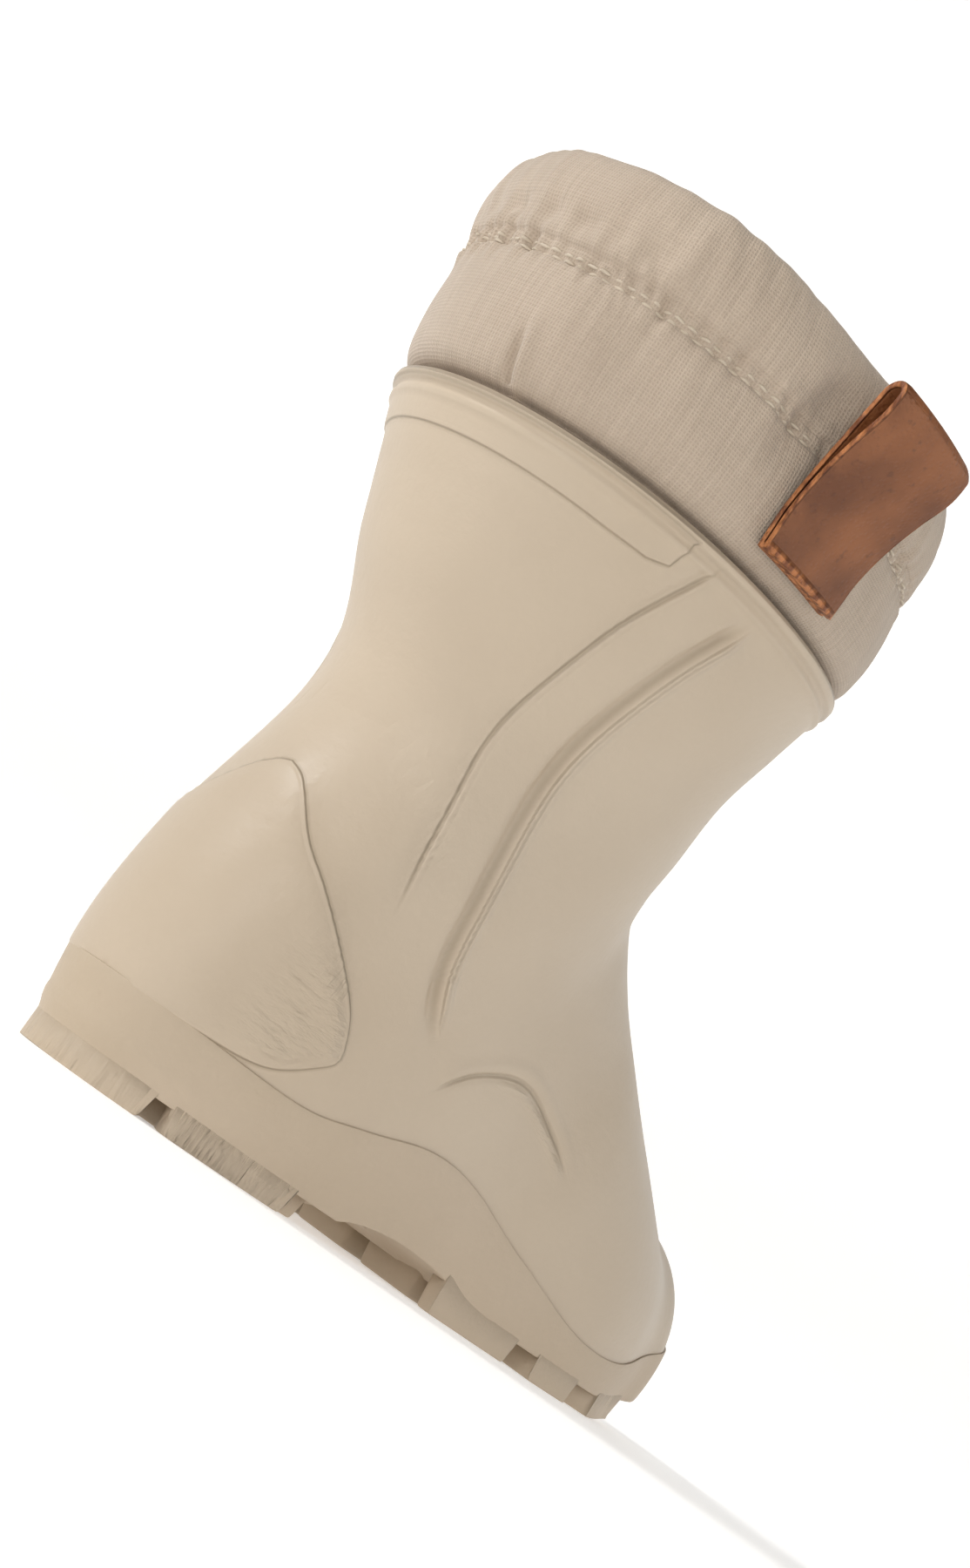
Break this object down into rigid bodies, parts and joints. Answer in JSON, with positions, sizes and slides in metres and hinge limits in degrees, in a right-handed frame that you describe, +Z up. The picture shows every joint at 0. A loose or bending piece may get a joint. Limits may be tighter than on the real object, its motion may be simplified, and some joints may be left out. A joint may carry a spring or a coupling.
{
  "type": "winter boot",
  "caption": "Slip-on moulded foam winter boot for a child's right foot, with a lugged sole, a soft gathered textile cuff and a folded leather pull tab on its outer side.",
  "frame": {"origin": "centre of the bounding box's base, on the plane that the heel and forefoot stand on", "axes": "+Z up, the toe points along -Y, the outer (lateral) side of this right boot along -X"},
  "size_m": [0.1156, 0.2352, 0.2013],
  "materials": {
    "sole": "moulded EVA foam, fine grained, matt",
    "shell": "moulded EVA foam, smooth, soft satin",
    "insole": "brushed wool felt",
    "cuff": "fine woven nylon, padded",
    "leather": "vegetable-tanned leather, raw edges"
  },
  "bodies": {
    "root": {"outsole": "sole", "shell": "shell", "insole": "insole", "cuff": "cuff", "pull_tab": "leather"}
  },
  "joints": []
}
